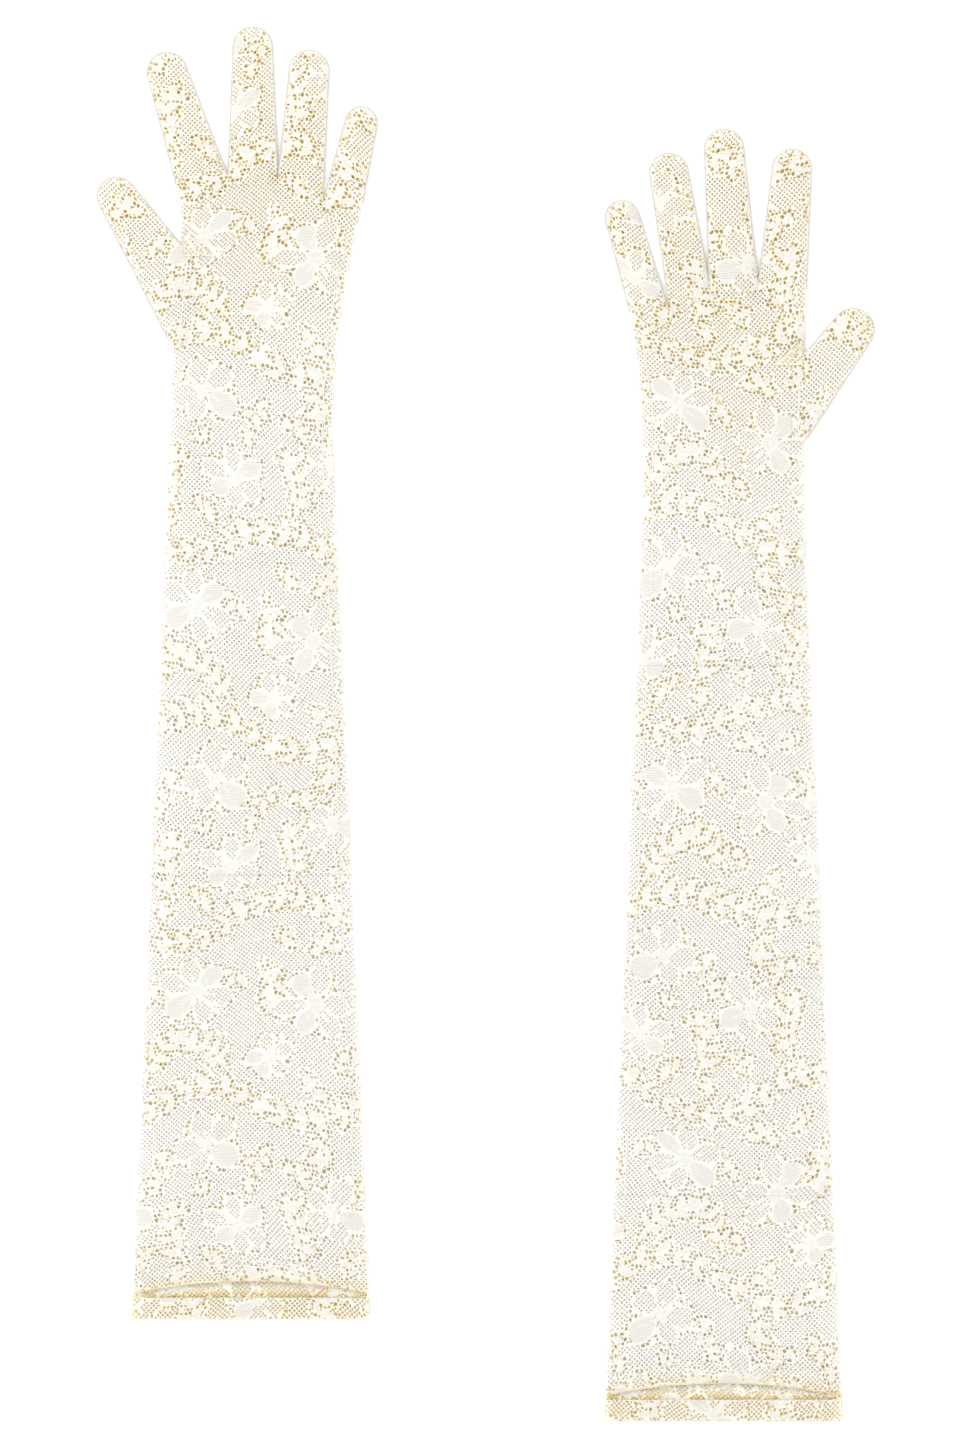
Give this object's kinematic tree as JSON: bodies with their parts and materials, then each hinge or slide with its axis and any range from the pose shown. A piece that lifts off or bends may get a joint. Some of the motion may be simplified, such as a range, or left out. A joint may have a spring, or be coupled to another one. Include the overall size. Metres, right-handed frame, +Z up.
{
  "type": "opera length lace gloves",
  "caption": "Pair of long floral lace gloves lying flat, palm up, with set-in thumbs and turned hems at the arm openings.",
  "frame": {"origin": "on the table under the middle of the pair, bottom centre of the bounding box", "axes": "+Y towards the fingertips, +Z up from the table, the left glove on the -X side, palms facing +Z"},
  "size_m": [0.3504, 0.6278, 0.0085],
  "materials": {
    "floral_lace": "ivory stretch lace, matt",
    "hem_lace": "doubled ivory lace, matt",
    "seam_thread": "ivory sewing thread"
  },
  "bodies": {
    "left_forearm": {"left_forearm_sleeve": "floral_lace", "left_forearm_side_seam": "seam_thread"},
    "left_upper_arm": {"left_upper_arm_sleeve": "floral_lace", "left_upper_arm_side_seam": "seam_thread", "left_hem_band": "hem_lace", "left_hem_stitching": "seam_thread"},
    "left_hand": {"left_hand": "floral_lace", "left_hand_side_seam": "seam_thread", "left_thumb_set_in_seam": "seam_thread", "left_thumb_quirk": "floral_lace"},
    "left_thumb": {"left_thumb": "floral_lace", "left_thumb_seam": "seam_thread"},
    "left_index_finger": {"left_index_finger": "floral_lace", "left_index_finger_seam": "seam_thread"},
    "left_middle_finger": {"left_middle_finger": "floral_lace", "left_middle_finger_seam": "seam_thread"},
    "left_ring_finger": {"left_ring_finger": "floral_lace", "left_ring_finger_seam": "seam_thread"},
    "left_little_finger": {"left_little_finger": "floral_lace", "left_little_finger_seam": "seam_thread"},
    "right_forearm": {"right_forearm_sleeve": "floral_lace", "right_forearm_side_seam": "seam_thread"},
    "right_upper_arm": {"right_upper_arm_sleeve": "floral_lace", "right_upper_arm_side_seam": "seam_thread", "right_hem_band": "hem_lace", "right_hem_stitching": "seam_thread"},
    "right_hand": {"right_hand": "floral_lace", "right_hand_side_seam": "seam_thread", "right_thumb_set_in_seam": "seam_thread", "right_thumb_quirk": "floral_lace"},
    "right_thumb": {"right_thumb": "floral_lace", "right_thumb_seam": "seam_thread"},
    "right_index_finger": {"right_index_finger": "floral_lace", "right_index_finger_seam": "seam_thread"},
    "right_middle_finger": {"right_middle_finger": "floral_lace", "right_middle_finger_seam": "seam_thread"},
    "right_ring_finger": {"right_ring_finger": "floral_lace", "right_ring_finger_seam": "seam_thread"},
    "right_little_finger": {"right_little_finger": "floral_lace", "right_little_finger_seam": "seam_thread"}
  },
  "joints": [
    {"name": "left_wrist_bend", "type": "hinge", "parent": "left_forearm", "child": "left_hand", "pos_m": [-0.1056, 0.132, 0.008], "axis": [1, 0, 0], "range_deg": [0, 80]},
    {"name": "left_elbow_fold", "type": "hinge", "parent": "left_forearm", "child": "left_upper_arm", "pos_m": [-0.1056, -0.118, 0.008], "axis": [-1, 0, 0], "range_deg": [0, 150]},
    {"name": "left_thumb_swing", "type": "hinge", "parent": "left_hand", "child": "left_thumb", "pos_m": [-0.139, 0.1925, 0.008], "axis": [0.0806, 0.9967, 0], "range_deg": [0, 50]},
    {"name": "left_index_curl", "type": "hinge", "parent": "left_hand", "child": "left_index_finger", "pos_m": [-0.1275, 0.2435, 0.008], "axis": [0.9521, 0.3057, 0], "range_deg": [0, 90]},
    {"name": "left_middle_curl", "type": "hinge", "parent": "left_hand", "child": "left_middle_finger", "pos_m": [-0.1049, 0.2482, 0.008], "axis": [1, 0, 0], "range_deg": [0, 90]},
    {"name": "left_ring_curl", "type": "hinge", "parent": "left_hand", "child": "left_ring_finger", "pos_m": [-0.0833, 0.244, 0.008], "axis": [0.9972, -0.075, 0], "range_deg": [0, 90]},
    {"name": "left_little_curl", "type": "hinge", "parent": "left_hand", "child": "left_little_finger", "pos_m": [-0.0643, 0.2345, 0.008], "axis": [0.9748, -0.2233, 0], "range_deg": [0, 90]},
    {"name": "right_wrist_bend", "type": "hinge", "parent": "right_forearm", "child": "right_hand", "pos_m": [0.1068, 0.0861, 0.008], "axis": [1, 0, 0], "range_deg": [0, 80]},
    {"name": "right_elbow_fold", "type": "hinge", "parent": "right_forearm", "child": "right_upper_arm", "pos_m": [0.1068, -0.1639, 0.008], "axis": [-1, 0, 0], "range_deg": [0, 150]},
    {"name": "right_thumb_swing", "type": "hinge", "parent": "right_hand", "child": "right_thumb", "pos_m": [0.1434, 0.1466, 0.008], "axis": [-0.0146, -0.9999, 0], "range_deg": [0, 50]},
    {"name": "right_index_curl", "type": "hinge", "parent": "right_hand", "child": "right_index_finger", "pos_m": [0.1331, 0.1946, 0.008], "axis": [0.9966, -0.0819, 0], "range_deg": [0, 90]},
    {"name": "right_middle_curl", "type": "hinge", "parent": "right_hand", "child": "right_middle_finger", "pos_m": [0.1113, 0.1993, 0.008], "axis": [0.9974, 0.0715, 0], "range_deg": [0, 90]},
    {"name": "right_ring_curl", "type": "hinge", "parent": "right_hand", "child": "right_ring_finger", "pos_m": [0.0911, 0.1951, 0.008], "axis": [0.9863, 0.165, 0], "range_deg": [0, 90]},
    {"name": "right_little_curl", "type": "hinge", "parent": "right_hand", "child": "right_little_finger", "pos_m": [0.0732, 0.1861, 0.008], "axis": [0.9613, 0.2756, 0], "range_deg": [0, 90]},
    {"name": "right_glove_lift", "type": "slide", "parent": "left_forearm", "child": "right_forearm", "axis": [0, 0, 1], "range_m": [0, 0.3]}
  ]
}
